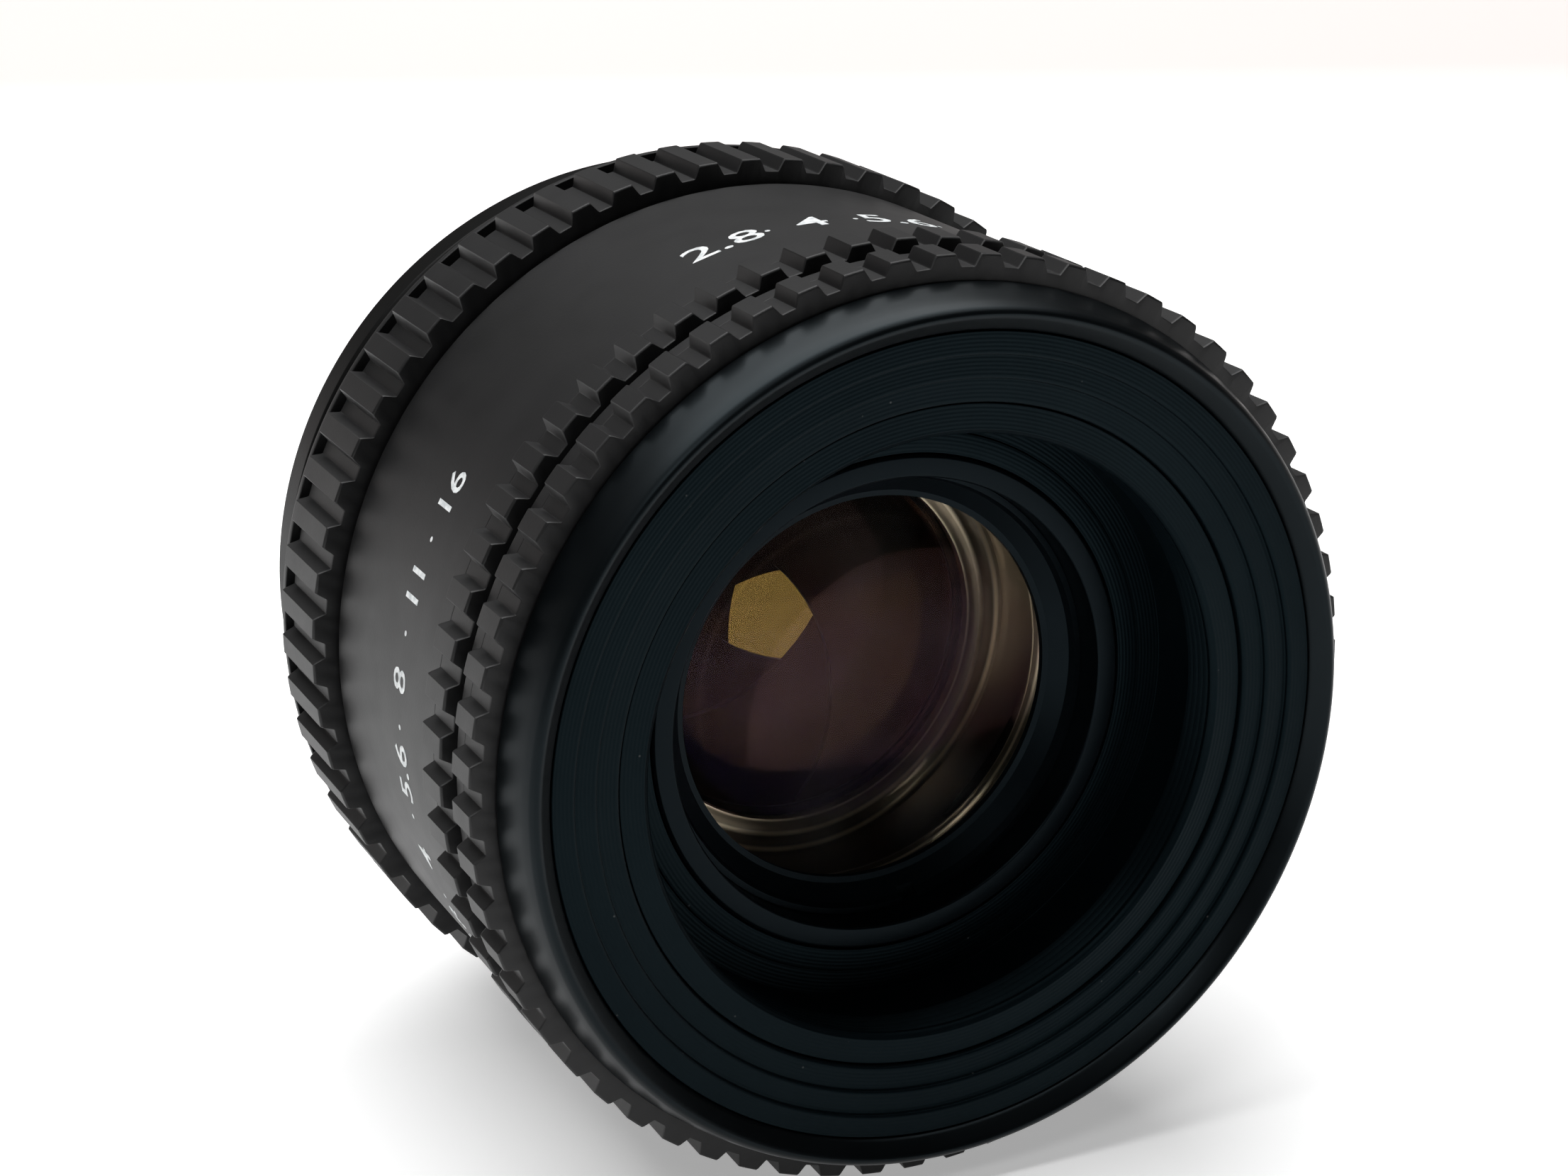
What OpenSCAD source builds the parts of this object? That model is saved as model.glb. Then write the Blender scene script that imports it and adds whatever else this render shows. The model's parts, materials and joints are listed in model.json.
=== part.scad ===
// Enlarging-type prime lens, lying on its side, in millimetres.
// The optical axis is the Y axis, the front looks along -Y and +Z is up.
// The origin is on the axis, in the rear face of the mounting flange.
// Inside this file every part is drawn along +Z ("station" = distance in front
// of the flange face) and then turned so that its front looks along -Y.

/* [Rear mount] */
// Outer radius of the rear mounting thread
thread_r = 19.5; // [19:0.1:20]
// Length of the rear mounting thread
thread_len = 5.2; // [4:0.1:7]
// Outer radius of the flange disc
flange_r = 25.45; // [24.6:0.05:26]
// Thickness of the flange disc
flange_t = 2.5; // [2:0.1:3]
// Radius of the dark neck between the flange and the rear ring
neck_r = 23.6; // [23.4:0.05:24]

/* [Grip ribs] */
// Number of ribs in each row
rib_count = 62; // [48:1:72]
// Crest radius of the rear ring
rear_crest_r = 27.75; // [27.4:0.05:28.2]
// Rib height of the rear ring
rear_rib_h = 0.75; // [0.4:0.05:0.9]
// Crest radius of the two front rows
front_crest_r = 27.05; // [26.8:0.05:27.2]
// Rib height of the two front rows
front_rib_h = 0.7; // [0.4:0.05:0.8]
// Share of the rib pitch taken by the flat crest
crest_share = 0.44; // [0.3:0.01:0.5]
// Share of the rib pitch taken by each flank
flank_share = 0.12; // [0.08:0.01:0.18]
// Angle of the first rear rib
rear_phase = 1.3; // [0:0.1:5.8]
// Angle of the first rib of the two front rows, which line up
front_phase = 1.7; // [0:0.1:5.8]

/* [Front] */
// Radius of the rim where it turns over
rim_r = 25.0; // [24.8:0.05:25.2]
// Radius of the black band behind the rim
band_r = 25.65; // [25.3:0.05:25.9]
// Station of the front of the rim
rim_s = 43.4; // [43.2:0.1:43.8]
// Height of each step of the terraces
step_h = 0.3; // [0.1:0.05:0.35]
// Radius of the front accessory thread
recess_r = 17.5; // [17.2:0.05:17.7]
// Radius of the lip around the front glass
lip_r = 13.5; // [13.3:0.05:13.7]
// Clear radius of the front glass
glass_r = 11.6; // [11.2:0.1:11.8]

/* [Aperture] */
// Number of iris blades
blade_count = 5; // [5:1:5]
// Turn of the aperture sleeve from wide open to the smallest stop, where it is drawn
throw_deg = 60; // [55:5:60]
// Turn of each blade over that travel
blade_deg = 24; // [20:1:24]
// Number of clicks between the two ends
click_count = 5; // [4:1:5]
// Thickness of a blade
blade_t = 0.3; // [0.2:0.05:0.3]
// Spacing of the blades along the axis
blade_step = 0.45; // [0.4:0.01:0.45]
// Radius of the circle of blade pivots
pivot_r = 18.3; // [18.3:0.1:18.3]

/* [Fits] */
// Radial clearance between the aperture sleeve and the barrel
run_gap = 0.06; // [0.03:0.01:0.1]
// Clearance between fixed pieces
seat_gap = 0.05; // [0.02:0.01:0.05]

/* [Hidden] */
$fn = 96;
far = 60;
pitch_deg = 360 / rib_count;
barrel_r = 22.0;
barrel_bore = 20.0;
cell_r = 14.8;
lens_r = 12.6;
stop_lens_r = 10.5;
stop_s = 18.6;
plate_s = 17.0;
plate_t = 0.4;
stack_s = plate_s + plate_t + 0.1;
cam_s = 20.3;
drive_s = 21.1;
drive_deg = -40;
click_s = 30.0;
click_deg = 90;
ball_r = 0.8;
ball_s_r = 21.2;
lock_r = 16.2;
floor_s = 35.4;
web_s = 40.15;
terrace_r = [23.4, 22.05, 20.7, 19.35];
terrace_s = 42.55;
pin_deg = 14;
post_r = 0.5;
pin_r = 0.45;
front_face_s = terrace_s - 3 * step_h;

// ---- helpers ---------------------------------------------------------------

// Turns a piece drawn along +Z so that its front looks along -Y.
module forward() {
    rotate([90, 0, 0]) children();
}

// A turned piece from its half section, given as [radius, station] points.
module turned(points) {
    rotate_extrude() polygon(points);
}

// A plain ring between two stations.
module ring(r_out, r_in, s0, s1) {
    turned([[r_in, s0], [r_out, s0], [r_out, s1], [r_in, s1]]);
}

// Mirrors a piece of the front group into the rear group, about the stop.
module behind_stop() {
    translate([0, 0, 2 * stop_s]) mirror([0, 0, 1]) children();
}

// A radial hole or screw: a cylinder between two radii at one station and angle.
module radial(r, r0, r1, s, a) {
    rotate([0, 0, a]) translate([r0, 0, s]) rotate([0, 90, 0]) cylinder(r = r, h = r1 - r0);
}

function polar(r, a) = [r * cos(a), r * sin(a)];

// Four corners of one rib: valley, crest, crest, valley.
function rib(r_crest, r_valley, a) = let (c = crest_share * pitch_deg / 2,
    f = flank_share * pitch_deg) [polar(r_valley, a - c - f), polar(r_crest, a - c),
    polar(r_crest, a + c), polar(r_valley, a + c + f)];

// Outline of a ribbed ring.
function rib_outline(r_crest, r_valley, phase) = [for (i = [0 : rib_count - 1])
    for (p = rib(r_crest, r_valley, phase + i * pitch_deg)) p];

// A row of straight ribs with small chamfers at both ends, open inside.
module rib_row(r_crest, r_valley, phase, s0, s1, r_in, bevel) {
    intersection() {
        difference() {
            translate([0, 0, s0]) linear_extrude(s1 - s0)
                polygon(rib_outline(r_crest, r_valley, phase));
            cylinder(r = r_in, h = far);
        }
        turned([[0, s0], [r_crest - bevel, s0], [r_crest + 0.1, s0 + bevel + 0.1],
            [r_crest + 0.1, s1 - bevel - 0.1], [r_crest - bevel, s1], [0, s1]]);
    }
}

// A finely divided ball for the polished surfaces.
module ball(r) {
    sphere(r = r, $fn = 480);
}

// A lens between two ball surfaces: its front bulges forward, and so does its
// back when back_r is positive (hollow back), or backward when it is negative.
module lens(r, s_back, front_vertex, front_r, back_vertex, back_r) {
    difference() {
        intersection() {
            translate([0, 0, s_back]) cylinder(r = r, h = far / 2);
            translate([0, 0, front_vertex - front_r]) ball(front_r);
            if (back_r < 0) translate([0, 0, back_vertex - back_r]) ball(-back_r);
        }
        if (back_r > 0) translate([0, 0, back_vertex - back_r]) ball(back_r);
    }
}

// ---- rear mount and barrel -------------------------------------------------

module mount() color([0.05, 0.05, 0.055]) forward() difference() {
    turned([[17, -thread_len], [thread_r - 0.4, -thread_len], [thread_r, 0.4 - thread_len],
        [thread_r, 0], [flange_r - 0.25, 0], [flange_r, 0.25], [flange_r, flange_t - 0.25],
        [flange_r - 0.25, flange_t], [neck_r, flange_t], [neck_r, 14.6], [barrel_r + seat_gap, 14.6],
        [barrel_r + seat_gap, 4], [17, 4]]);
    for (a = [30 : 120 : 270]) radial(0.9, 21, 24, 5.2, a);
}

module rear_ring() color([0.16, 0.16, 0.17]) forward() union() {
    valley = rear_crest_r - rear_rib_h;
    turned([[neck_r + seat_gap, 7.4], [valley + 0.1, 7.4], [valley + 0.4, 7.6],
        [valley + 0.4, 8.1], [valley - 0.7, 8.1], [valley - 0.7, 8.55], [valley - 0.05, 8.55],
        [valley - 0.05, 14.85], [neck_r + seat_gap, 14.85]]);
    rib_row(rear_crest_r, valley, rear_phase, 8.55, 14.9, valley - 0.5, 0.1);
}

module set_screws() color([0.3, 0.3, 0.32]) forward() for (a = [30 : 120 : 270]) {
    difference() {
        radial(0.85, 22.1, 23.4, 5.2, a);
        rotate([0, 0, a]) translate([23.2, -1, 5.05]) cube([1, 2, 0.3]);
    }
}

module barrel() color([0.08, 0.08, 0.085]) forward() difference() {
    turned([[barrel_bore, 4.1], [barrel_r, 4.1], [barrel_r, 36.3], [barrel_bore, 36.3],
        [barrel_bore, 16.95], [cell_r + 0.1, 16.95], [cell_r + 0.1, 13.6], [barrel_bore, 13.6]]);
    radial(0.85, 19, 23, click_s, click_deg);
    drive_slot();
}

// Slot through the barrel that lets the drive screw travel.
module drive_slot() {
    a0 = drive_deg - throw_deg - 2.6;
    sweep = throw_deg + 5.2;
    translate([0, 0, drive_s - 0.8]) linear_extrude(1.6)
        polygon(concat([for (i = [0 : 12]) polar(19, a0 + sweep * i / 12)],
            [for (i = [12 : -1 : 0]) polar(23.5, a0 + sweep * i / 12)]));
}

// ---- aperture ring and clicks ----------------------------------------------

module aperture_sleeve() color([0.17, 0.17, 0.18]) forward() difference() {
    waist = front_crest_r - front_rib_h;
    bore = barrel_r + run_gap;
    relief = 24.4;
    union() {
        turned([[bore, 15.3], [waist - 0.3, 15.3], [waist, 15.6], [waist, 35.45],
            [waist - 0.1, 35.55], [bore, 35.55], [bore, 34.2],
            [relief, 33.8], [relief, 31.8], [bore, 31.4], [bore, 28.6], [relief, 28.2],
            [relief, 23], [bore, 22.6], [bore, 19.6], [relief, 19.2], [relief, 17.6],
            [bore, 17.2]]);
        rib_row(front_crest_r, waist, front_phase, 32.5, 35.5, waist - 0.5, 0.1);
    }
    radial(0.95, 21, 28, drive_s, drive_deg);
    for (i = [0 : click_count])
        rotate([0, 0, click_deg + throw_deg * i / click_count])
            translate([ball_s_r + 0.35, 0, click_s]) sphere(r = 1.0);
}

module drive_screw() color([0.45, 0.45, 0.47]) forward() difference() {
    union() {
        radial(0.6, 18.9, 23, drive_s, drive_deg);
        radial(0.85, 22.4, 25.8, drive_s, drive_deg);
    }
    rotate([0, 0, drive_deg]) translate([25.4, -1, drive_s - 0.15]) cube([1, 2, 0.3]);
}

module click_ball() color([0.6, 0.6, 0.62]) forward()
    rotate([0, 0, click_deg]) translate([ball_s_r, 0, click_s]) sphere(r = ball_r);

// A flat-wire coil of three turns.
module click_spring() color([0.6, 0.6, 0.62]) forward()
    rotate([0, 0, click_deg]) translate([18.95, 0, click_s]) rotate([0, 90, 0])
        linear_extrude(1.4, twist = -1080, slices = 36, $fn = 8)
            polygon(concat([for (a = [0 : 30 : 150]) polar(0.62, a)],
                [for (a = [150 : -30 : 0]) polar(0.36, a)]));

// ---- front ring, rim and terraces ------------------------------------------

module front_ring() color([0.17, 0.17, 0.18]) forward() {
    valley = front_crest_r - front_rib_h;
    turned([[barrel_r + seat_gap, 36.1], [valley - 0.1, 36.1], [valley, 36.2],
        [valley, 37.5], [valley - 0.05, 37.5], [valley - 0.05, 40.1], [barrel_r + seat_gap, 40.1]]);
    rib_row(front_crest_r, valley, front_phase, 37.3, 40.1, valley - 0.5, 0.12);
}

module bezel() color([0.02, 0.02, 0.022]) forward()
    turned([[19.4, web_s], [band_r, web_s], [rim_r + 0.2, rim_s - 1.35],
        [rim_r + 0.05, rim_s - 0.8], [rim_r - 0.15, rim_s - 0.3], [rim_r - 0.35, rim_s - 0.08],
        [rim_r - 0.55, rim_s], [rim_r - 0.75, rim_s - 0.1], [terrace_r[0] + 0.05, terrace_s],
        [terrace_r[0] + 0.05, web_s + 0.85], [19.4, web_s + 0.85]]);

// One flat of the terraces with the small bevelled step at its inner edge.
function terrace(i) = let (s = terrace_s - i * step_h)
    [[terrace_r[i], s], [terrace_r[i + 1] + 0.12, s], [terrace_r[i + 1], s - 0.12]];

module terrace_ring() color([0.06, 0.07, 0.08]) forward()
    turned(concat([[terrace_r[3], web_s + 0.9], [terrace_r[0], web_s + 0.9]],
        terrace(0), terrace(1), terrace(2)));

module front_housing() color([0.05, 0.055, 0.06]) forward() difference() {
    turned([[cell_r + 0.05, 22], [16.1, 22], [16.1, 33.2], [17.8, 33.2], [17.8, 22.2],
        [barrel_bore - seat_gap, 22.2], [barrel_bore - seat_gap, 36.4], [barrel_r, 36.4],
        [barrel_r, 40.1], [19.25, 40.1], [19.25, front_face_s], [recess_r + 0.3, front_face_s],
        [recess_r, front_face_s - 0.3], [recess_r, 39], [recess_r + 0.25, 38.75],
        [recess_r + 0.25, floor_s], [lock_r + 0.05, floor_s], [lock_r + 0.05, 34.5],
        [cell_r + 0.05, 34.5]]);
    radial(0.85, 18.9, 21, click_s, click_deg);
}

module lock_ring() color([0.05, 0.055, 0.06]) forward() difference() {
    ring(lock_r, cell_r + 0.1, 34.55, floor_s + 0.1);
    for (a = [20, 200]) rotate([0, 0, a]) translate([(lock_r + cell_r) / 2, 0, floor_s - 0.4])
        cylinder(r = 0.4, h = 1);
}

// ---- optical cells ---------------------------------------------------------

module front_cell() color([0.04, 0.045, 0.05]) forward()
    turned([[9.7, 20.3], [cell_r, 20.3], [cell_r, 35.45], [cell_r - 0.15, 35.6],
        [lip_r + 0.1, 35.6], [lip_r, 35.5], [lip_r, 31.8], [lens_r + 0.05, 31.8],
        [lens_r + 0.05, 21.75], [stop_lens_r + 0.05, 21.75], [stop_lens_r + 0.05, 20.6],
        [9.7, 20.6]]);

module front_retainer() color([0.03, 0.03, 0.035]) forward() difference() {
    turned([[glass_r, 31.95], [lip_r - 0.05, 31.85], [lip_r - 0.05, 33.6],
        [lip_r - 0.4, 33.6], [lip_r - 0.6, 33.2], [glass_r + 0.35, 32.45],
        [glass_r, 32.35]]);
    for (a = [100, 280]) rotate([0, 0, a]) translate([12.6, -0.5, 33]) cube([1.5, 1, 1]);
}

module element_1() color([0.3, 0.25, 0.35, 0.4]) forward()
    lens(lens_r, 26, 34.3, 28, 29, -90);

module element_2() color([0.3, 0.25, 0.35, 0.4]) forward() difference() {
    translate([0, 0, 24.5]) cylinder(r = lens_r, h = 5.6);
    translate([0, 0, 119.02]) ball(90.05);
    translate([0, 0, 3.6]) ball(24);
}

module front_spacer() color([0.75, 0.7, 0.6]) forward()
    turned([[10.2, 21.98], [lens_r, 21.98], [lens_r, 24.45], [11.9, 24.45], [11.9, 22.8],
        [10.2, 22.4]]);

module element_3() color([0.3, 0.25, 0.35, 0.4]) forward()
    lens(stop_lens_r, 20.65, 24.6, 20, 22.6, 30);

module element_4() color([0.3, 0.25, 0.35, 0.4]) forward() behind_stop()
    lens(stop_lens_r, 20.65, 24.6, 20, 22.6, 30);

module rear_spacer() color([0.75, 0.7, 0.6]) forward() behind_stop()
    turned([[10.2, 21.98], [lens_r, 21.98], [lens_r, 24.45], [11.9, 24.45], [11.9, 22.8],
        [10.2, 22.4]]);

module element_5() color([0.3, 0.25, 0.35, 0.4]) forward() behind_stop() difference() {
    translate([0, 0, 24.5]) cylinder(r = lens_r, h = 5.6);
    translate([0, 0, 119.02]) ball(90.05);
    translate([0, 0, 3.6]) ball(24);
}

module element_6() color([0.3, 0.25, 0.35, 0.4]) forward() behind_stop()
    lens(lens_r, 26, 34.3, 28, 29, -90);

module rear_cell() color([0.04, 0.045, 0.05]) forward() behind_stop()
    turned([[9.7, 20.3], [cell_r, 20.3], [cell_r, 34.6], [cell_r - 0.3, 34.8],
        [lip_r, 34.8], [lip_r, 31.8], [lens_r + 0.05, 31.8],
        [lens_r + 0.05, 21.75], [stop_lens_r + 0.05, 21.75], [stop_lens_r + 0.05, 20.6],
        [9.7, 20.6]]);

module rear_retainer() color([0.03, 0.03, 0.035]) forward() behind_stop() difference() {
    turned([[glass_r, 31.95], [lip_r - 0.05, 31.85], [lip_r - 0.05, 33.6],
        [lip_r - 0.6, 33.6], [glass_r, 32.35]]);
    for (a = [0, 180]) rotate([0, 0, a]) translate([12.6, -0.5, 33]) cube([1.5, 1, 1]);
}

// ---- iris ------------------------------------------------------------------

module iris_base() color([0.08, 0.08, 0.08]) forward() union() {
    ring(barrel_bore - 0.1, 9.3, plate_s, plate_s + plate_t);
    for (i = [0 : blade_count - 1]) rotate([0, 0, i * 360 / blade_count])
        translate([pivot_r, 0, plate_s]) cylinder(r = post_r, h = cam_s - 0.1 - plate_s);
}

// Station of a blade's rear face; each blade has its own level.
function blade_s(i) = stack_s + i * blade_step;

// One blade, closed: a crescent, a tab around the pivot post and a drive pin into the cam.
module blade(i) {
    color([0.1, 0.1, 0.105]) forward() rotate([0, 0, i * 360 / blade_count]) {
        translate([pivot_r, 0, 0]) rotate([0, 0, blade_deg]) translate([-pivot_r, 0, 0])
        difference() {
            union() {
                translate([0, 0, blade_s(i)]) linear_extrude(blade_t)
                    polygon(concat([for (a = [0 : 6 : 108]) polar(17, a)],
                        [for (a = [108 : -6 : 0]) polar(9.6, a)]));
                translate([0, 0, blade_s(i)]) linear_extrude(blade_t) polygon(
                    concat([polar(16.5, -1)], [polar(18.3, -3.4)], [polar(19.3, -1.5)],
                        [polar(19.3, 3)], [polar(19, 14.5)], [polar(18.3, 16)], [polar(16.5, 18)]));
                translate([0, 0, blade_s(i)]) translate(polar(pivot_r, pin_deg))
                    cylinder(r = pin_r, h = cam_s + 0.7 - blade_s(i));
            }
            translate([pivot_r, 0, blade_s(i) - 1]) cylinder(r = post_r + 0.06, h = 3);
        }
    }
}

module iris_blade_1() blade(0);
module iris_blade_2() blade(1);
module iris_blade_3() blade(2);
module iris_blade_4() blade(3);
module iris_blade_5() blade(4);

function turn(p, a) = [p[0] * cos(a) - p[1] * sin(a), p[0] * sin(a) + p[1] * cos(a)];

// Centre of a blade's drive pin, seen from the closed cam, at a share t of the travel.
function cam_point(t) = turn([pivot_r, 0] + turn(polar(pivot_r, pin_deg) - [pivot_r, 0],
    blade_deg * t), throw_deg * (1 - t));

function unit(v) = v / norm(v);
function side(t, w) = let (d = unit(cam_point(t + 0.001) - cam_point(t - 0.001)))
    cam_point(t) + w * [-d[1], d[0]];

// The cam's slots are cut so that every blade turns in proportion to the ring.
module cam_slot() {
    w = pin_r + 0.07;
    n = 20;
    polygon(concat([for (i = [0 : n]) side(i / n, w)], [for (i = [n : -1 : 0]) side(i / n, -w)]));
    for (t = [0, 1]) translate(cam_point(t)) circle(r = w);
}

module iris_cam() color([0.12, 0.12, 0.12]) forward() difference() {
    turned([[15.3, cam_s], [barrel_bore - run_gap, cam_s], [barrel_bore - run_gap, 21.9],
        [19.2, 21.9], [19.2, cam_s + 0.9], [15.3, cam_s + 0.9]]);
    for (i = [0 : blade_count - 1]) rotate([0, 0, i * 360 / blade_count])
        translate([0, 0, cam_s - 1]) linear_extrude(3) cam_slot();
    radial(0.62, 18, 21, drive_s, drive_deg);
}

// ---- assembly --------------------------------------------------------------

mount();
rear_ring();
set_screws();
barrel();
aperture_sleeve();
drive_screw();
click_ball();
click_spring();
front_ring();
bezel();
terrace_ring();
front_housing();
lock_ring();
front_cell();
front_retainer();
element_1();
element_2();
front_spacer();
element_3();
iris_base();
iris_blade_1();
iris_blade_2();
iris_blade_3();
iris_blade_4();
iris_blade_5();
iris_cam();
element_4();
rear_spacer();
element_5();
element_6();
rear_cell();
rear_retainer();
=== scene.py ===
import json
import math

import bmesh
import bpy
from mathutils import Matrix, Vector


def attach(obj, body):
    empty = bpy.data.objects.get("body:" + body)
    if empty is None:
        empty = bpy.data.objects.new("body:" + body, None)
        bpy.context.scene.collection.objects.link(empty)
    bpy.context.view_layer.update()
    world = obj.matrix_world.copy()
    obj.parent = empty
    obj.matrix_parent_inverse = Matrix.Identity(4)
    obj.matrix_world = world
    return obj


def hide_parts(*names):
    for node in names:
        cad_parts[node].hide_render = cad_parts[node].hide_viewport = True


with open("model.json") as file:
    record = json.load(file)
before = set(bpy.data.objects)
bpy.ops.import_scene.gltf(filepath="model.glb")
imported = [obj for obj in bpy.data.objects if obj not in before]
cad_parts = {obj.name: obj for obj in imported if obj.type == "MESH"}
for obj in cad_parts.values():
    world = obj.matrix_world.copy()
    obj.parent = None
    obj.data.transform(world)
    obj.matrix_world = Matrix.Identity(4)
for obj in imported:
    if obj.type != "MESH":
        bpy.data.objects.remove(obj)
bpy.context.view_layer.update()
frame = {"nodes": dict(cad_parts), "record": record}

# The lens is drawn in its own millimetres: r is the distance from the optical
# axis, "station" s is the distance in front of the flange face, and an angle is
# measured from +X towards +Z, as seen from the front.
MM = 0.001
TAU = 2 * math.pi
RIBS = 62
PITCH = TAU / RIBS
# the crest and each flank of a rib, and the rounding between them, as shares of the pitch
CREST = 0.44
FLANK = 0.12
ROUNDING = 0.012
WAIST_R = 26.35
REAR_VALLEY_R = 27.0
REAR_CREST_R = 27.75
FRONT_CREST_R = 27.05
STOP_S = 18.6
TERRACE_S = 42.55
STEP_H = 0.3
TERRACE_R = (23.4, 22.05, 20.7, 19.35)
FACE_S = TERRACE_S - 3 * STEP_H
GLASS_R = 12.6
# the aperture scale: its station, the degrees from figure to figure, and the height of a
# figure as a share of the font's size
SCALE_S = 26.7
STOP_TURN = 12
CAP_HEIGHT = 0.7
# how finely the rings, the glass and the rounded corners are divided
RING_SEGMENTS = 288
GLASS_SEGMENTS = 160
ARC_STEPS = 24
CORNER_STEPS = 3


def place(r, a, s):
    """The point at radius r, angle a in radians and station s, in metres."""
    return Vector((r * math.cos(a), -s, r * math.sin(a))) * MM


# ---- materials -------------------------------------------------------------

def node(tree, kind, **values):
    """A new shader node; values name its sockets or its properties."""
    n = tree.nodes.new(kind)
    for key, value in values.items():
        name = key.replace("_", " ").title()
        if name in n.inputs:
            n.inputs[name].default_value = value
        else:
            setattr(n, key, value)
    return n


def ramp(tree, source, low, high, at_low, at_high):
    """A value that goes from at_low to at_high as source goes from low to high."""
    n = node(tree, "ShaderNodeMapRange")
    n.inputs["From Min"].default_value = low
    n.inputs["From Max"].default_value = high
    n.inputs["To Min"].default_value = at_low
    n.inputs["To Max"].default_value = at_high
    tree.links.new(source, n.inputs["Value"])
    return n.outputs["Result"]


def start_material(name):
    """A new material, its node tree, its shader and its object coordinates."""
    m = bpy.data.materials.new(name)
    m.use_nodes = True
    tree = m.node_tree
    shader = next(n for n in tree.nodes if n.type == "BSDF_PRINCIPLED")
    coords = node(tree, "ShaderNodeTexCoord")
    return m, tree, shader, coords.outputs["Object"]


def noise(tree, coords, per_mm, detail=3.0):
    """Cloudy noise from 0 to 1, with about per_mm features in a millimetre."""
    n = node(tree, "ShaderNodeTexNoise", scale=per_mm * 1000.0, detail=detail)
    tree.links.new(coords, n.inputs["Vector"])
    return n.outputs["Fac"]


def radius_of(tree, coords):
    """Distance from the optical axis, in metres."""
    flat = node(tree, "ShaderNodeVectorMath", operation="MULTIPLY")
    flat.inputs[1].default_value = (1, 0, 1)
    length = node(tree, "ShaderNodeVectorMath", operation="LENGTH")
    tree.links.new(coords, flat.inputs[0])
    tree.links.new(flat.outputs[0], length.inputs[0])
    return length.outputs["Value"]


def ring_wave(tree, coords, per_mm):
    """A wave from -1 to 1 that runs outwards from the optical axis."""
    scaled = node(tree, "ShaderNodeMath", operation="MULTIPLY")
    scaled.inputs[1].default_value = TAU * per_mm / MM
    wave = node(tree, "ShaderNodeMath", operation="SINE")
    tree.links.new(radius_of(tree, coords), scaled.inputs[0])
    tree.links.new(scaled.outputs[0], wave.inputs[0])
    return wave.outputs[0]


def black_metal(name, dark, light, rough, specular, grain=0.25, turned=0.0, dust=0.0,
                tint=(1, 1, 1)):
    """Black painted or anodised metal: cloudy tone, fine grain and, where asked for, tool rings
    and specks of dust."""
    m, tree, shader, coords = start_material(name)
    link = tree.links.new
    clouds = noise(tree, coords, 0.12)
    grains = noise(tree, coords, 6.0, 2.0)
    tone = node(tree, "ShaderNodeMix", data_type="RGBA")
    tone.inputs[6].default_value = (*dark, 1)
    tone.inputs[7].default_value = (*light, 1)
    link(ramp(tree, clouds, 0.3, 0.7, 0.0, 1.0), tone.inputs[0])
    color = tone.outputs[2]
    if dust:
        specks = node(tree, "ShaderNodeTexVoronoi", scale=450.0)
        link(coords, specks.inputs["Vector"])
        dusty = node(tree, "ShaderNodeMix", data_type="RGBA")
        dusty.inputs[7].default_value = (0.32, 0.32, 0.31, 1)
        link(ramp(tree, specks.outputs["Distance"], 0.0, 0.035, dust, 0.0), dusty.inputs[0])
        link(color, dusty.inputs[6])
        color = dusty.outputs[2]
    link(color, shader.inputs["Base Color"])
    link(ramp(tree, noise(tree, coords, 0.35), 0.3, 0.7, rough - 0.02, rough + 0.02),
         shader.inputs["Roughness"])
    shader.inputs["Specular IOR Level"].default_value = specular
    shader.inputs["Specular Tint"].default_value = (*tint, 1)
    height = ramp(tree, grains, 0.0, 1.0, 0.0, grain)
    if turned:
        both = node(tree, "ShaderNodeMath", operation="ADD")
        link(ramp(tree, ring_wave(tree, coords, 4.5), -1.0, 1.0, 0.0, turned), both.inputs[0])
        link(height, both.inputs[1])
        height = both.outputs[0]
    bump = node(tree, "ShaderNodeBump", strength=0.5, distance=0.00004)
    link(height, bump.inputs["Height"])
    link(bump.outputs["Normal"], shader.inputs["Normal"])
    return m


def bare_metal(name, color, rough):
    """Plain metal with fine scratches."""
    m, tree, shader, coords = start_material(name)
    shader.inputs["Base Color"].default_value = (*color, 1)
    shader.inputs["Metallic"].default_value = 1.0
    tree.links.new(ramp(tree, noise(tree, coords, 1.5), 0.3, 0.7, rough - 0.08, rough + 0.08),
                   shader.inputs["Roughness"])
    bump = node(tree, "ShaderNodeBump", strength=0.2, distance=0.00001)
    tree.links.new(noise(tree, coords, 8.0), bump.inputs["Height"])
    tree.links.new(bump.outputs["Normal"], shader.inputs["Normal"])
    return m


def faced_metal(name, dull, bright, rough, rings_per_mm):
    """Metal faced on a lathe: bright tool rings round the optical axis on a duller ground."""
    m, tree, shader, coords = start_material(name)
    link = tree.links.new
    rings = ring_wave(tree, coords, rings_per_mm)
    tone = node(tree, "ShaderNodeMix", data_type="RGBA")
    tone.inputs[6].default_value = (*dull, 1)
    tone.inputs[7].default_value = (*bright, 1)
    link(ramp(tree, rings, 0.3, 1.0, 0.0, 1.0), tone.inputs[0])
    link(tone.outputs[2], shader.inputs["Base Color"])
    shader.inputs["Metallic"].default_value = 1.0
    shader.inputs["Roughness"].default_value = rough
    bump = node(tree, "ShaderNodeBump", strength=0.3, distance=0.00003)
    link(rings, bump.inputs["Height"])
    link(bump.outputs["Normal"], shader.inputs["Normal"])
    return m


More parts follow.
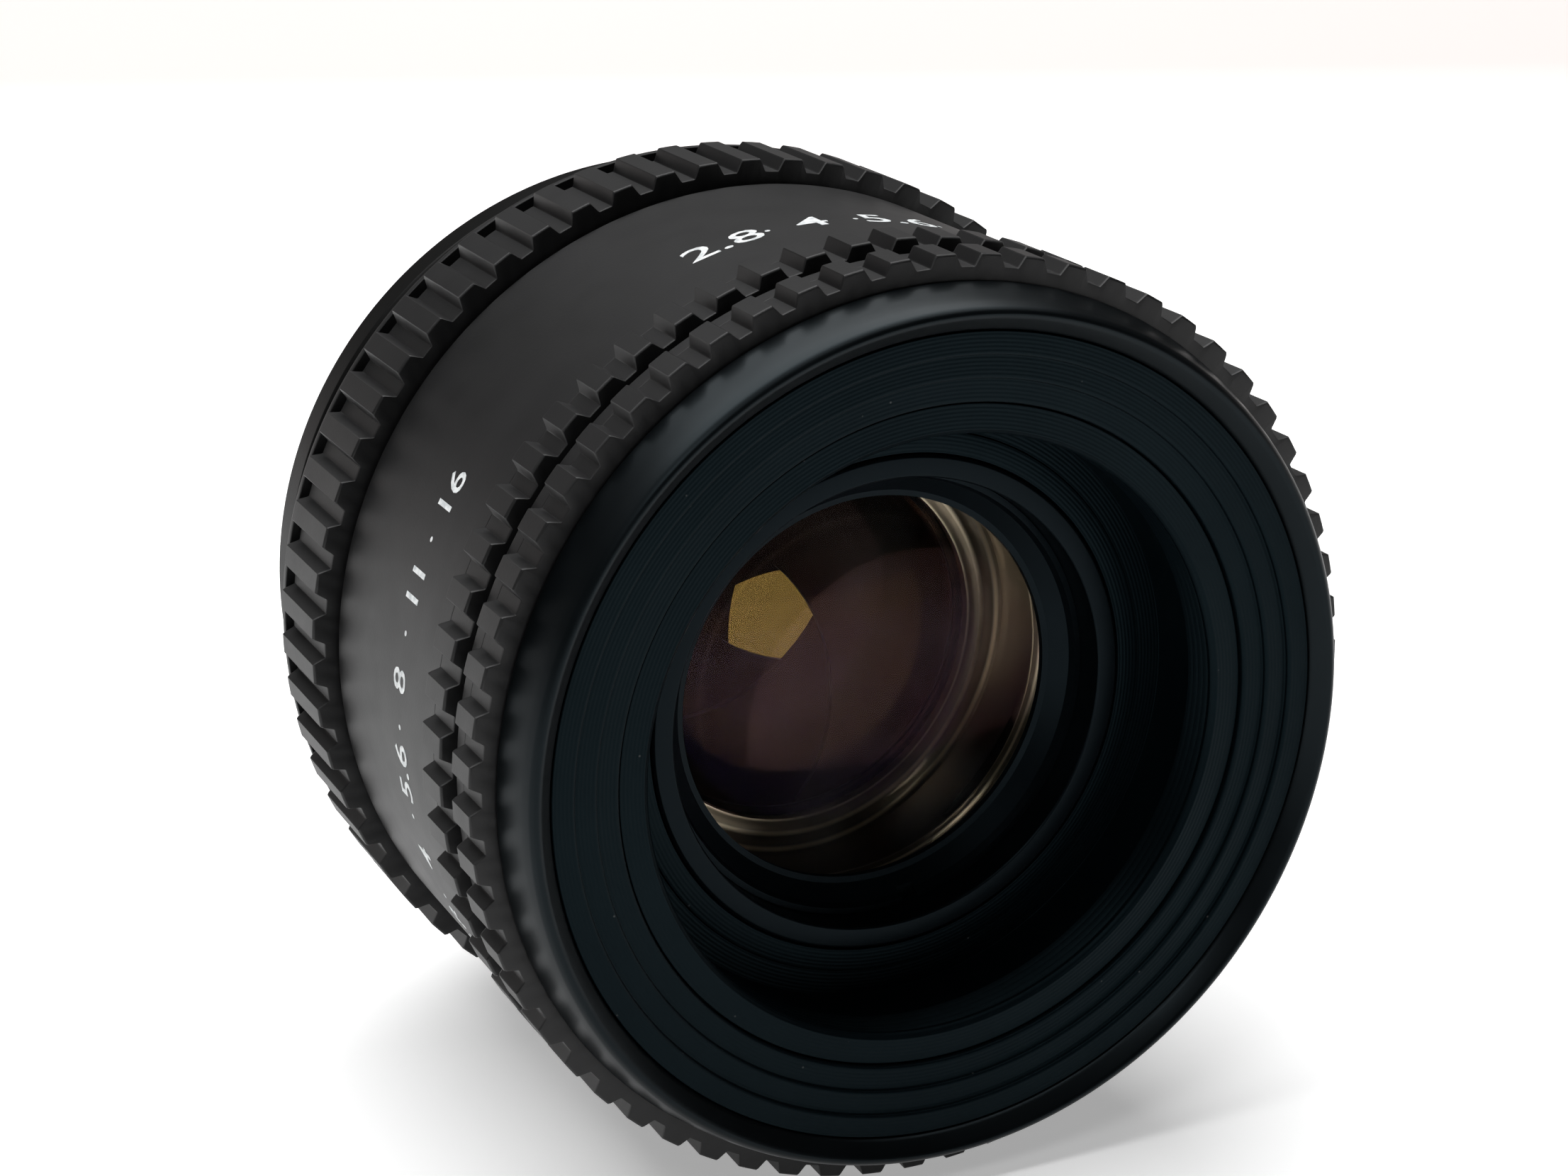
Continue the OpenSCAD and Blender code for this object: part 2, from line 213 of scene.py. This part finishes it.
def coated_glass(name, body, sheen, film, haze):
    """Glass with a coloured body, a coating that dims and tints reflections, and hazy smears."""
    m, tree, shader, coords = start_material(name)
    shader.inputs["Base Color"].default_value = (*body, 1)
    shader.inputs["IOR"].default_value = 1.62
    shader.inputs["Specular Tint"].default_value = (*sheen, 1)
    shader.inputs["Thin Film Thickness"].default_value = film
    shader.inputs["Thin Film IOR"].default_value = 1.38
    smears = noise(tree, coords, 0.2)
    tree.links.new(ramp(tree, smears, 0.45, 0.75, 0.0, 0.05), shader.inputs["Roughness"])
    tree.links.new(ramp(tree, smears, 0.4, 0.75, 1.0, 1.0 - haze),
                   shader.inputs["Transmission Weight"])
    return m


def white_paint(name):
    """The filled numerals: slightly uneven off-white."""
    m, tree, shader, coords = start_material(name)
    tone = node(tree, "ShaderNodeMix", data_type="RGBA")
    tone.inputs[6].default_value = (0.52, 0.55, 0.56, 1)
    tone.inputs[7].default_value = (0.78, 0.8, 0.8, 1)
    tree.links.new(ramp(tree, noise(tree, coords, 2.5), 0.35, 0.6, 0.0, 1.0), tone.inputs[0])
    tree.links.new(tone.outputs[2], shader.inputs["Base Color"])
    shader.inputs["Roughness"].default_value = 0.6
    return m


def paper(name):
    """The pale floor: white paper that turns pinkish far behind the lens, with a painted glow that
    lifts the shadows on it and grows brighter far behind the lens.
    """
    m, tree, shader, coords = start_material(name)
    link = tree.links.new
    away = node(tree, "ShaderNodeVectorMath", operation="DOT_PRODUCT")
    away.inputs[1].default_value = (0.4255, 0.9049, 0)
    link(coords, away.inputs[0])
    tone = node(tree, "ShaderNodeMix", data_type="RGBA")
    tone.inputs[6].default_value = (0.86, 0.86, 0.86, 1)
    tone.inputs[7].default_value = (0.6, 0.56, 0.545, 1)
    link(ramp(tree, away.outputs["Value"], 0.26, 0.44, 0.0, 1.0), tone.inputs[0])
    link(tone.outputs[2], shader.inputs["Base Color"])
    # painted light: the emission lifts the shadows on the floor, and lifts the floor more strongly
    # far behind the lens
    link(tone.outputs[2], shader.inputs["Emission Color"])
    link(ramp(tree, away.outputs["Value"], 0.45, 1.6, 0.42, 1.4),
         shader.inputs["Emission Strength"])
    shader.inputs["Roughness"].default_value = 0.8
    shader.inputs["Specular IOR Level"].default_value = 0.2
    bump = node(tree, "ShaderNodeBump", strength=0.05, distance=0.0001)
    link(noise(tree, coords, 2.0), bump.inputs["Height"])
    link(bump.outputs["Normal"], shader.inputs["Normal"])
    return m


GRIP = black_metal("grip_black", (0.002, 0.002, 0.0023), (0.004, 0.004, 0.0045), 0.5,
                   specular=0.38)
FLANGE = black_metal("flange_black", (0.002, 0.002, 0.002), (0.004, 0.004, 0.004), 0.42,
                     specular=0.1)
BEZEL = black_metal("bezel_black", (0.0008, 0.0012, 0.0015), (0.002, 0.0025, 0.003), 0.36,
                    grain=0.1, specular=0.16, tint=(0.7, 0.9, 1.0))
FRONT = black_metal("front_black", (0.0007, 0.0018, 0.0027), (0.0016, 0.0034, 0.0045), 0.45,
                    turned=0.5, specular=0.09, dust=0.3, tint=(0.5, 0.85, 1.0))
CELL = black_metal("cell_black", (0.0008, 0.0015, 0.002), (0.002, 0.003, 0.004), 0.35,
                   specular=0.1, tint=(0.6, 0.85, 1.0))
# painted reflection: the iris blades are blackened steel, tinted brown to stand in for the warm
# light the lens coatings reflect onto them
IRIS = black_metal("iris_black", (0.006, 0.004, 0.0025), (0.018, 0.0115, 0.007), 0.45, grain=0.02,
                   specular=0.13, tint=(1.0, 0.75, 0.55))
STEEL = bare_metal("screw_steel", (0.4, 0.4, 0.42), 0.35)
SPACER = faced_metal("spacer_metal", (0.27, 0.235, 0.2), (0.95, 0.86, 0.74), 0.34, 1.4)
PAINT = white_paint("numeral_white")
GLASS_A = coated_glass("coated_glass_violet", (0.97, 0.96, 0.93), (0.12, 0.1, 0.2), 105.0, 0.008)
GLASS_B = coated_glass("coated_glass_amber", (0.97, 0.94, 0.88), (0.2, 0.14, 0.1), 92.0, 0.0)
GLASS_C = coated_glass("coated_glass_rear", (0.32, 0.26, 0.14), (0.2, 0.15, 0.15), 100.0, 0.0)

# ---- mesh building ---------------------------------------------------------

def soften(profile, size):
    """Rounds the corners of a closed outline by at most size. Each corner gets the same
    number of points."""
    rounded = []
    count = len(profile)
    for i in range(count):
        before, here, after = (Vector(profile[i - 1]), Vector(profile[i]),
                               Vector(profile[(i + 1) % count]))
        back, ahead = before - here, after - here
        reach = min(size, 0.4 * back.length, 0.4 * ahead.length)
        first, last = here + back.normalized() * reach, here + ahead.normalized() * reach
        for k in range(CORNER_STEPS + 1):
            t = k / CORNER_STEPS
            rounded.append((1 - t) ** 2 * first + 2 * t * (1 - t) * here + t ** 2 * last)
    return rounded


def add_piece(name, shells, material, body):
    """A smooth mesh object made of (verts, faces) shells that rides on a body."""
    mesh = bpy.data.meshes.new(name)
    verts, faces = [], []
    for shell_verts, shell_faces in shells:
        faces += [tuple(k + len(verts) for k in face) for face in shell_faces]
        verts += shell_verts
    mesh.from_pydata(verts, [], faces)
    bm = bmesh.new()
    bm.from_mesh(mesh)
    bmesh.ops.remove_doubles(bm, verts=bm.verts, dist=1e-7)
    bmesh.ops.recalc_face_normals(bm, faces=bm.faces)
    bm.to_mesh(mesh)
    bm.free()
    mesh.shade_smooth()
    mesh.set_sharp_from_angle(angle=math.radians(28))
    mesh.materials.append(material)
    obj = bpy.data.objects.new(name, mesh)
    bpy.context.scene.collection.objects.link(obj)
    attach(obj, body)
    return obj


def rib_angles(phase):
    """(angle, height) pairs once round a ribbed ring; height is 0 in a valley and 1 on a crest."""
    c, f = CREST / 2, FLANK
    side = [(c + f + ROUNDING, 0.0), (c + f - ROUNDING, 0.1), (c + ROUNDING, 0.9),
            (c - ROUNDING, 1.0)]
    one = ([(-0.5, 0.0)] + [(-p, h) for p, h in side] + [(0.0, 1.0)]
           + [(p, h) for p, h in side[::-1]])
    return [(math.radians(phase) + (i + p) * PITCH, h) for i in range(RIBS) for p, h in one]


def turned_shell(profile, corner, crest=None, phase=0.0):
    """A closed half section of (radius, station) points, turned round the axis.
    With crest, the same half section as it is on the rib crests, the shell is ribbed."""
    low = soften(profile, corner)
    if crest:
        high = soften(crest, corner)
        spokes = rib_angles(phase)
    else:
        high = low
        spokes = [(TAU * i / RING_SEGMENTS, 0.0) for i in range(RING_SEGMENTS)]
    n, rounds = len(low), len(spokes)
    verts = []
    for angle, height in spokes:
        for a, b in zip(low, high):
            r, s = a + (b - a) * height
            verts.append(place(r, angle, s))
    faces = [(i * n + k, i * n + (k + 1) % n, (i + 1) % rounds * n + (k + 1) % n,
              (i + 1) % rounds * n + k) for i in range(rounds) for k in range(n)]
    return verts, faces


def keep_flats(obj):
    """Lets the broad faces decide the shading, so that narrow rounded edges don't bend it."""
    weighted = obj.modifiers.new("flat_faces", "WEIGHTED_NORMAL")
    weighted.weight = 50
    weighted.keep_sharp = True


def stand_in(obj, cad):
    """obj takes the place of a CAD node, which is hidden."""
    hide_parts(cad)


def turned(name, cad, slot, profile, material, body="housing", corner=0.1):
    """A piece turned round the axis that takes the place of a CAD node."""
    obj = add_piece(name, [turned_shell(profile, corner)], material, body)
    keep_flats(obj)
    stand_in(obj, cad)


def ribbed(name, cad, phase, rows, plain, body="housing"):
    """A grip ring: rows of ribs as (valley half section, crest half section), and plain shells."""
    shells = [turned_shell(low, 0.07, crest=high, phase=phase) for low, high in rows]
    shells += [turned_shell(profile, 0.1) for profile in plain]
    obj = add_piece(name, shells, GRIP, body)
    keep_flats(obj)
    stand_in(obj, cad)


def rib_row(valley, crest, s0, s1):
    """Half sections of a row of ribs between two stations, in a valley and on a crest."""
    low = [(valley - 1, s0), (valley, s0), (valley, s0 + 0.15), (valley, s1 - 0.15),
           (valley - 0.02, s1), (valley - 1, s1)]
    high = [(valley - 1, s0), (crest - 0.1, s0), (crest, s0 + 0.1), (crest, s1 - 0.1),
            (crest - 0.1, s1), (valley - 1, s1)]
    return low, high


def grooves(r_out, r_in, s0, s1, pitch):
    """Zigzag points of a fine thread between two stations, on one side of a half section."""
    turns = round(abs(s1 - s0) / pitch)
    step = (s1 - s0) / turns
    points = []
    for i in range(turns):
        points += [(r_out, s0 + (i + 0.15) * step), (r_in, s0 + (i + 0.6) * step)]
    return points


def arc(vertex, radius, r0, r1):
    """Points on a ball surface, from r0 to r1 off the axis. Its centre lies behind the vertex
    if radius > 0."""
    side = math.copysign(1.0, radius)
    centre = vertex - radius
    points = []
    for i in range(ARC_STEPS + 1):
        r = r0 + (r1 - r0) * i / ARC_STEPS
        points.append((r, centre + side * math.sqrt(radius * radius - r * r)))
    return points


def lens_piece(name, cad, r, front, back, rim, material, behind):
    """A glass element: front and back are (vertex, radius), and a rim station closes a hollow
    back. One that is behind the iris is mirrored about it."""
    outline = arc(*front, 0.0, r)
    if rim:
        edge = math.sqrt(abs(back[1]) ** 2 - (rim - (back[0] - back[1])) ** 2)
        edge = min(edge, r)
        outline += [(r, rim)] + arc(*back, edge, 0.0)
    else:
        outline += arc(*back, r, 0.0)
    if behind:
        outline = [(q, 2 * STOP_S - s) for q, s in outline]
    n, rounds = len(outline), GLASS_SEGMENTS
    verts = [place(q, TAU * i / rounds, s) for i in range(rounds) for q, s in outline]
    faces = [(i * n + k, i * n + k + 1, (i + 1) % rounds * n + k + 1,
              (i + 1) % rounds * n + k) for i in range(rounds) for k in range(n - 1)]
    stand_in(add_piece(name, [(verts, faces)], material, "housing"), cad)


# ---- rear and barrel -------------------------------------------------------

def build_mount():
    thread = grooves(19.5, 19.05, -4.7, -0.3, 0.75)
    turned("mount_shell", "mount", "flange_black",
           [(17, -5.2), (19.1, -5.2), (19.5, -4.8)] + thread
           + [(19.05, -0.15), (19.05, 0), (25.2, 0), (25.45, 0.25), (25.45, 2.25), (25.2, 2.5),
              (23.6, 2.5), (23.6, 14.6), (22.05, 14.6), (22.05, 4), (15.1, 4), (15.1, 2.05),
              (17, 2.05)], FLANGE)


def build_grips():
    ribbed("rear_grip", "rear_ring", 1.3,
           [rib_row(REAR_VALLEY_R, REAR_CREST_R, 8.55, 14.9)],
           [[(23.65, 7.4), (27.1, 7.4), (27.4, 7.6), (27.4, 8.1), (26.3, 8.1), (26.3, 14.85),
             (23.65, 14.85)]])
    ribbed("aperture_grip", "aperture_sleeve", 1.7, [rib_row(WAIST_R, FRONT_CREST_R, 32.5, 35.5)],
           [[(22.06, 15.3), (26.15, 15.3), (WAIST_R, 15.5), (WAIST_R, 32.5), (25.4, 32.52),
             (25.4, 17.2), (22.06, 17.2)],
            [(22.06, 34.2), (25.9, 34.2), (25.9, 35.45), (22.06, 35.45)]], "aperture_ring")
    ribbed("front_grip", "front_ring", 1.7, [rib_row(WAIST_R, FRONT_CREST_R, 37.3, 40.1)],
           [[(22.05, 36.1), (26.25, 36.1), (WAIST_R, 36.2), (WAIST_R, 37.3), (25.9, 37.35),
             (25.9, 40.05), (22.05, 40.05)]])


# ---- front -----------------------------------------------------------------

def build_front():
    turned("bezel_shell", "bezel", "bezel_black",
           [(19.4, 40.15), (25.65, 40.15), (25.2, 42.05), (25.05, 42.6), (24.85, 43.1),
            (24.65, 43.32), (24.45, 43.4), (24.25, 43.3), (23.45, TERRACE_S), (23.45, 41),
            (19.4, 41)], BEZEL, corner=0.25)
    steps = [(TERRACE_R[3], 41.05), (TERRACE_R[0], 41.05)]
    for i in range(3):
        s = TERRACE_S - i * STEP_H
        steps += [(TERRACE_R[i], s), (TERRACE_R[i + 1] + 0.12, s), (TERRACE_R[i + 1], s - 0.12)]
    turned("terraces", "terrace_ring", "front_black", steps, FRONT, corner=0.1)
    turned("front_well", "front_housing", "front_black",
           [(14.85, 22), (16.1, 22), (16.1, 33.2), (17.8, 33.2), (17.8, 22.2), (19.95, 22.2),
            (19.95, 36.4), (22, 36.4), (22, 40.1), (19.25, 40.1), (19.25, FACE_S),
            (17.8, FACE_S), (17.5, FACE_S - 0.3)] + grooves(17.5, 17.72, 41.2, 39.1, 0.5)
           + [(17.5, 39), (17.75, 38.75), (17.75, 35.4), (16.25, 35.4), (16.25, 34.5),
              (14.85, 34.5)], FRONT, corner=0.05)
    turned("locking_ring", "lock_ring", "front_black",
           [(14.9, 34.55), (16.2, 34.55), (16.2, 35.5), (14.9, 35.5)], FRONT, corner=0.06)


def build_cells():
    inside = [(9.7, 20.3), (14.8, 20.3)]
    bore = [(13.5, 31.8), (12.65, 31.8), (12.65, 21.75), (10.55, 21.75), (10.55, 20.6),
            (9.7, 20.6)]
    front_rim = [(14.8, 35.45), (14.65, 35.6), (13.6, 35.6), (13.5, 35.5)]
    rear_rim = [(14.8, 34.6), (14.5, 34.8), (13.5, 34.8)]
    turned("front_cell_shell", "front_cell", "cell_black", inside + front_rim + bore, CELL,
           corner=0.05)
    turned("rear_cell_shell", "rear_cell", "cell_black",
           [(r, 2 * STOP_S - s) for r, s in inside + rear_rim + bore], CELL, corner=0.05)


def build_glass():
    for label, behind, names, glass in (
            ("front", False, ("element_1", "element_2", "element_3"),
             (GLASS_A, GLASS_B, GLASS_A)),
            ("rear", True, ("element_6", "element_5", "element_4"),
             (GLASS_B, GLASS_C, GLASS_C))):
        lens_piece(label + "_glass_outer", names[0], GLASS_R, (34.3, 28.0), (29.0, -90.0), None,
                   glass[0], behind)
        lens_piece(label + "_glass_middle", names[1], GLASS_R, (28.97, -90.0), (27.6, 24.0), 24.5,
                   glass[1], behind)
        lens_piece(label + "_glass_inner", names[2], 10.5, (24.6, 20.0), (22.6, 30.0), 20.9,
                   glass[2], behind)


# ---- numerals --------------------------------------------------------------

def wrap(mesh, degrees, station, stretch=1.0):
    """Bends a flat drawing in millimetres onto the waist, to be read from outside with its
    top to the rear."""
    for v in mesh.vertices:
        angle = math.radians(degrees) - v.co.x * stretch / WAIST_R
        v.co = place(WAIST_R + 0.01 + v.co.z, angle, station - v.co.y)
    mesh.materials.clear()
    mesh.materials.append(PAINT)


def add_mark(name, mesh):
    """A painted mark that turns with the aperture ring."""
    obj = bpy.data.objects.new(name, mesh)
    bpy.context.scene.collection.objects.link(obj)
    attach(obj, "aperture_ring")


def numeral(text, degrees, height, stretch):
    """A painted figure on the aperture scale."""
    curve = bpy.data.curves.new("numeral", "FONT")
    curve.body = text
    curve.size = height / CAP_HEIGHT
    curve.align_x = "CENTER"
    curve.align_y = "CENTER"
    curve.extrude = 0.01
    curve.offset = 0.015
    curve.resolution_u = 3
    flat = bpy.data.objects.new("flat_numeral", curve)
    bpy.context.scene.collection.objects.link(flat)
    bpy.context.view_layer.update()
    depsgraph = bpy.context.evaluated_depsgraph_get()
    mesh = bpy.data.meshes.new_from_object(flat.evaluated_get(depsgraph))
    bpy.data.objects.remove(flat)
    wrap(mesh, degrees, SCALE_S, stretch)
    add_mark("numeral_%s_%d" % (text.replace(".", "_"), degrees), mesh)


def half_stop(degrees, size):
    """A painted dot between two figures."""
    mesh = bpy.data.meshes.new("half_stop")
    bm = bmesh.new()
    bmesh.ops.create_circle(bm, cap_ends=True, segments=20, radius=size)
    bm.to_mesh(mesh)
    bm.free()
    wrap(mesh, degrees, SCALE_S)
    add_mark("half_stop_%d" % degrees, mesh)


def build_numerals():
    """Two copies of the aperture scale, so that one is in sight from either side."""
    for first, height, stretch in ((210, 1.9, 1.1), (104, 2.2, 1.3)):
        for i, text in enumerate(("2.8", "4", "5.6", "8", "11", "16")):
            numeral(text, first - STOP_TURN * i, height, stretch)
        for i in range(5):
            half_stop(first - STOP_TURN // 2 - STOP_TURN * i, 0.16)


# ---- CAD nodes that keep their own shape -----------------------------------

def finish_cad_nodes():
    """Gives every CAD node the procedural material of its slot in the record."""
    looks = {"grip_black": GRIP, "flange_black": FLANGE, "bezel_black": BEZEL,
             "front_black": FRONT, "cell_black": CELL, "iris_black": IRIS,
             "screw_steel": STEEL, "spacer_metal": SPACER, "coated_glass": GLASS_A}
    for part in frame["record"]["subparts"]:
        obj = frame["nodes"][part["node"]]
        for slot in obj.material_slots:
            slot.material = looks[part["material_slot"]]


# ---- stage -----------------------------------------------------------------

def build_floor():
    """The lens lies nose-down on its rear ring and its front ring, so the floor leans to meet
    both."""
    rear, front = (-14.4, -REAR_CREST_R), (-39.8, -FRONT_CREST_R)
    lean = math.atan2(front[1] - rear[1], front[0] - rear[0]) + math.pi
    mesh = bpy.data.meshes.new("floor")
    mesh.from_pydata([(-2, -1.2, 0), (2, -1.2, 0), (2, 2.5, 0), (-2, 2.5, 0)], [],
                     [(0, 1, 2, 3)])
    mesh.materials.append(paper("paper"))
    floor = bpy.data.objects.new("floor", mesh)
    bpy.context.scene.collection.objects.link(floor)
    floor.matrix_world = (Matrix.Translation(Vector((0, rear[0], rear[1])) * MM)
                          @ Matrix.Rotation(lean, 4, "X"))


def area_light(name, at, target, size, power):
    """A white rectangular light that faces a target; sizes are in metres, power in watts."""
    light = bpy.data.lights.new(name, "AREA")
    light.shape = "RECTANGLE"
    light.size, light.size_y = size
    light.energy = power
    obj = bpy.data.objects.new(name, light)
    bpy.context.scene.collection.objects.link(obj)
    obj.location = at
    obj.rotation_euler = (Vector(target) - Vector(at)).to_track_quat("-Z", "Y").to_euler()


def build_lights():
    """A large soft ceiling light, a small lamp and a room that is brightest behind the lens,
    low down."""
    area_light("ceiling", (0.0, 0.3, 1.0), (0, 0.3, 0), (1.4, 1.0), 21)
    area_light("lamp", (-0.5, -0.55, 0.75), (0, 0, 0), (0.3, 0.2), 1.3)
    world = bpy.data.worlds.new("room")
    bpy.context.scene.world = world
    world.use_nodes = True
    tree = world.node_tree
    background = next(n for n in tree.nodes if n.type == "BACKGROUND")
    coords = node(tree, "ShaderNodeTexCoord")
    split = node(tree, "ShaderNodeSeparateXYZ")
    tree.links.new(coords.outputs["Generated"], split.inputs[0])
    background.inputs["Color"].default_value = (1.0, 0.95, 0.93, 1)
    height = ramp(tree, split.outputs["Z"], 0.0, 0.16, 1.0, 0.04)
    depth = ramp(tree, split.outputs["Y"], -0.3, 0.4, 0.08, 1.0)
    both = node(tree, "ShaderNodeMath", operation="MULTIPLY")
    tree.links.new(height, both.inputs[0])
    tree.links.new(depth, both.inputs[1])
    tree.links.new(both.outputs[0], background.inputs["Strength"])


def build_camera():
    """The camera stands in front of the lens and above it, on the -X side, without shift."""
    data = bpy.data.cameras.new("camera")
    data.sensor_width = 36.0
    data.lens = 71.34
    data.clip_start = 0.005
    camera = bpy.data.objects.new("camera", data)
    bpy.context.scene.collection.objects.link(camera)
    right = Vector((0.9049, -0.4255, 0.0))
    up = Vector((0.1364, 0.2902, 0.9472))
    back = Vector((-0.4030, -0.8572, 0.3206))
    frame_of = Matrix((right, up, back)).transposed().to_4x4()
    frame_of.translation = Vector((-75.8, -182.3, 63.0)) * MM
    camera.matrix_world = frame_of
    bpy.context.scene.camera = camera


def main():
    finish_cad_nodes()
    build_mount()
    build_grips()
    build_front()
    build_cells()
    build_glass()
    build_numerals()
    build_floor()
    build_lights()
    build_camera()
    bpy.context.scene.view_settings.view_transform = "Standard"


main()
